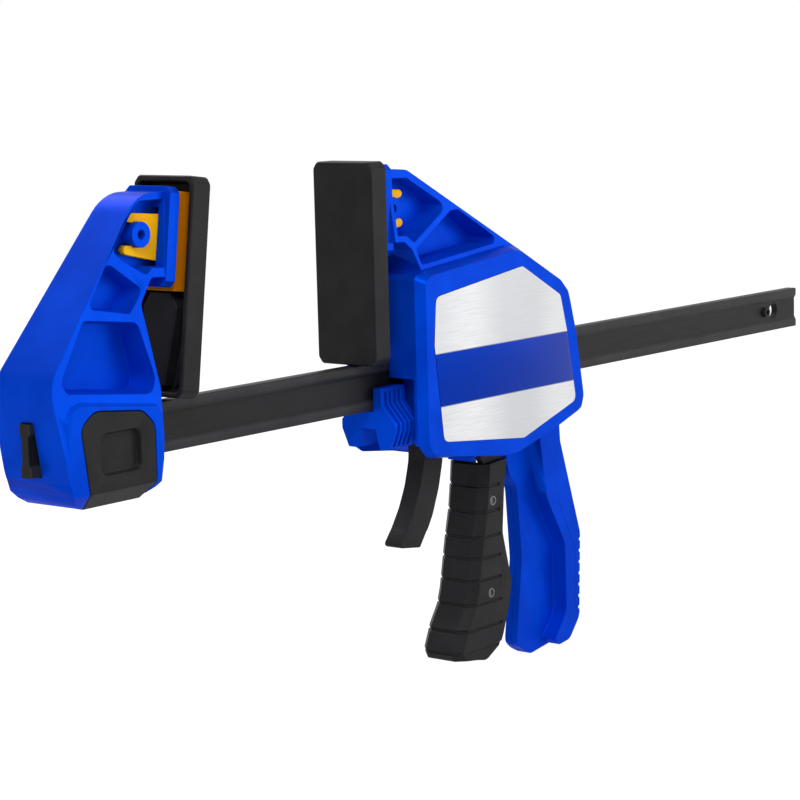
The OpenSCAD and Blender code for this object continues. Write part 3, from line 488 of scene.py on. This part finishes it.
BRUSH_LOW = 0.35
BRUSH_HIGH = 0.65
BRUSH_SHARE = 0.35
PLATE_ROUGH = 0.42
BAND_SMOOTHER = 0.1
BAND_METAL = 0.85
PLATE_SMOOTH = 40


def rounded(corners, radii, steps):
    """Closed outline whose corners are quadratic curves from tangent point to tangent point."""
    ahead = np.roll(corners, -1, 0) - corners
    behind = np.roll(corners, 1, 0) - corners
    ahead /= np.linalg.norm(ahead, axis=1, keepdims=True)
    behind /= np.linalg.norm(behind, axis=1, keepdims=True)
    half = np.arccos((ahead * behind).sum(1)) / 2
    back = (radii / np.tan(half))[:, None, None]
    t = np.linspace(0, 1, steps)[None, :, None]
    first = corners[:, None] + back * behind[:, None]
    last = corners[:, None] + back * ahead[:, None]
    arcs = (1 - t) ** 2 * first + 2 * t * (1 - t) * corners[:, None] + t**2 * last
    return arcs.reshape(-1, 2)


def drawn_in(outline, distance):
    """Outline moved inwards by a distance along its own normals."""
    along = np.roll(outline, -1, 0) - np.roll(outline, 1, 0)
    along /= np.linalg.norm(along, axis=1, keepdims=True)
    return outline + distance * np.stack([-along[:, 1], along[:, 0]], 1)


brushed = shaded("brushed plate", Specular_IOR_Level=0.12)
lines = grain(brushed, 2600, 2, BRUSHED_ALONG_X)
# Painted sheen: broad pale bands across the plate stand in for the light that it reflects.
painted_sheen = grain(brushed, 22, 0, SHEEN_STRETCH)
x_y_z = brushed.node("ShaderNodeSeparateXYZ", None, {0: brushed.here})
silver = brushed.mix(painted_sheen.band(CLOUD_LOW, CLOUD_HIGH), SILVER_GREY, SILVER_PALE)
silver = brushed.mix(lines.band(BRUSH_LOW, BRUSH_HIGH) * BRUSH_SHARE, silver, BRUSH_GREY)
height = x_y_z[2]
in_band = (height > BAND_LOW) * (height < BAND_HIGH)
in_line = (height > BAND_LOW - BAND_LINE) * (height < BAND_HIGH + BAND_LINE)
printed = brushed.mix(in_line, silver, LINE_GREY)
printed = brushed.mix(in_band, printed, BAND_BLUE)
depth = x_y_z[1]
# Painted shade: the rolled edge below the face is dark, standing in for the shade in the gap between plate
# and panel.
edge = depth.math("ABSOLUTE", depth) < LABEL_FACE - FACE_DEPTH
brushed.put(brushed.shader.inputs["Base Color"], brushed.mix(edge, printed, GAP_SHADE_DARK))
brushed.put(brushed.shader.inputs["Metallic"], in_band * BAND_METAL)
brushed.put(brushed.shader.inputs["Roughness"], PLATE_ROUGH - in_band * BAND_SMOOTHER)
bumped(brushed, lines * (1 - in_band), 0.01 * MM)


def label_plate(node, side):
    """Rings of the outline, drawn in and lifted step by step, from the plate's back to its face."""
    outline = rounded(LABEL_CORNERS, LABEL_RADII, CORNER_STEPS)
    count = len(outline)
    rings = []
    for inwards, level in EDGE_STEPS:
        ring = drawn_in(outline, inwards)
        rings.append(np.stack([ring[:, 0], np.full(count, side * level), ring[:, 1]], 1))
    mesh = surface(node, np.stack(rings))
    whole = bmesh.new()
    whole.from_mesh(mesh)
    whole.verts.ensure_lookup_table()
    for first in (0, count * (len(EDGE_STEPS) - 1)):
        whole.faces.new([whole.verts[first + i] for i in range(count)])
    whole.to_mesh(mesh)
    whole.free()
    piece = joined(node + "_face", mesh, brushed.material, PLATE_SMOOTH)
    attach(piece, "carriage")
    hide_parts(node)


label_plate("label_plate_near", -1)
label_plate("label_plate_far", 1)

# Trigger: a ribbed black grip moulded over a core, whose cheeks turn on a steel pin above the bar.
# Small screws in its sides hold the two together.
SCREW_GREY = (0.11, 0.11, 0.115)
SCREW_STEPS = 48
LOBES = 6
LOBE_SHARE = 0.16
HEAD_CHAMFER = 0.25
SOCKET_TOP = 0.58
SOCKET_FOOT = 0.54
SOCKET_WALL = 0.8
SOCKET_DEEPEST = 0.85
SCREW_SMOOTH = 30
GRIP_SCREWS = ((287.75, -63.75), (285, -108.3))
GRIP_SCREW_TIP = 6.2
GRIP_SCREW_FACE = 11.95
GRIP_SCREW_R = 1.25
GRIP_SCREW_HEAD = (2.55, 1.1)
BODY_SCREWS = ((240.5, 33), (325.5, 27), (272.5, -24), (333.625, -18.75))
BODY_SCREW_TIP = -15.5
BODY_SCREW_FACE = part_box("housing_screws")[1].y / MM
HANDLE_SCREWS = ((326.75, -75), (330.5, -120))
HANDLE_SCREW_ENDS = (-2.6, 3.75)
HOUSING_SCREW_R = 1.6
HOUSING_SCREW_HEAD = (3.35, 2.2)
moulded("trigger_grip", "trigger", satin_black, 0.3 * MM)
moulded("trigger_core", "trigger", satin_black, 0.3 * MM)
moulded("trigger_pin", "carriage", zinc.material, 0.3 * MM)
dark_screw = shaded("dark screw", Base_Color=SCREW_GREY, Roughness=0.4, Metallic=0.6)
bumped(dark_screw, grain(dark_screw, 2500, 2), 0.01 * MM)


def star_screw(name, body, node, place, ends, shank, head):
    """Rings of radius r (1 + share cos 6a) round the screw's axis; the inner ones sink the six-lobed socket.
    Places, ends and radii are in millimetres, and head holds the head's radius and its thickness."""
    tip, face = ends
    inward = math.copysign(1, tip - face)
    length, head_r, head_t = abs(face - tip), *head
    steps = (
        (length, 0, 0),
        (length, shank, 0),
        (head_t, shank, 0),
        (head_t, head_r, 0),
        (HEAD_CHAMFER, head_r, 0),
        (0, head_r - HEAD_CHAMFER, 0),
        (0, head_r * SOCKET_TOP, LOBE_SHARE),
        (SOCKET_WALL, head_r * SOCKET_FOOT, LOBE_SHARE),
        (SOCKET_DEEPEST, 0, LOBE_SHARE),
    )
    angle = np.linspace(0, 2 * math.pi, SCREW_STEPS, endpoint=False)
    rings = []
    for under, radius, share in steps:
        r = radius * (1 + share * np.cos(LOBES * angle))
        level = np.full(SCREW_STEPS, face + inward * under)
        rings.append(np.stack([place[0] + r * np.cos(angle), level, place[1] + r * np.sin(angle)], 1) * MM)
    piece = joined(name, surface(name, np.stack(rings)), dark_screw.material, SCREW_SMOOTH)
    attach(piece, body)
    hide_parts(node)


for row, place in enumerate(GRIP_SCREWS):
    for side in (-1, 1):
        name = f"trigger_screw_{row}_{side + 1}"
        ends = (side * GRIP_SCREW_TIP, side * GRIP_SCREW_FACE)
        star_screw(name, "trigger", "trigger_screws", place, ends, GRIP_SCREW_R, GRIP_SCREW_HEAD)
body_ends = (BODY_SCREW_TIP, BODY_SCREW_FACE)
for group, places, ends in (("body", BODY_SCREWS, body_ends), ("handle", HANDLE_SCREWS, HANDLE_SCREW_ENDS)):
    for row, place in enumerate(places):
        name = f"{group}_screw_{row}"
        star_screw(name, "carriage", "housing_screws", place, ends, HOUSING_SCREW_R, HOUSING_SCREW_HEAD)

# Drive and brake: hardened plates with a window for the bar, and the springs behind them.
# The housing hides them nearly all.
moulded("drive_plates", "drive", zinc.material, 0.2 * MM)
moulded("brake_plate", "brake", zinc.material, 0.2 * MM)
wire, low, high = spring("drive_spring", "carriage", 0, 8, 0.8 * MM)
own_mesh(wire)
spring("brake_spring", "carriage", 0, 3, 0.6 * MM)

# Release: a curved black lever on its own pin, whose link pin draws the blue paddle along.
# The paddle is a ribbed saddle under the bar.
moulded("release_lever", "lever", satin_black, 0.5 * MM)
moulded("release_pin", "carriage", zinc.material, 0.2 * MM)
moulded("release_link_pin", "lever", zinc.material, 0.2 * MM)
moulded("release_paddle", "paddle", nylon.material, 0.35 * MM)
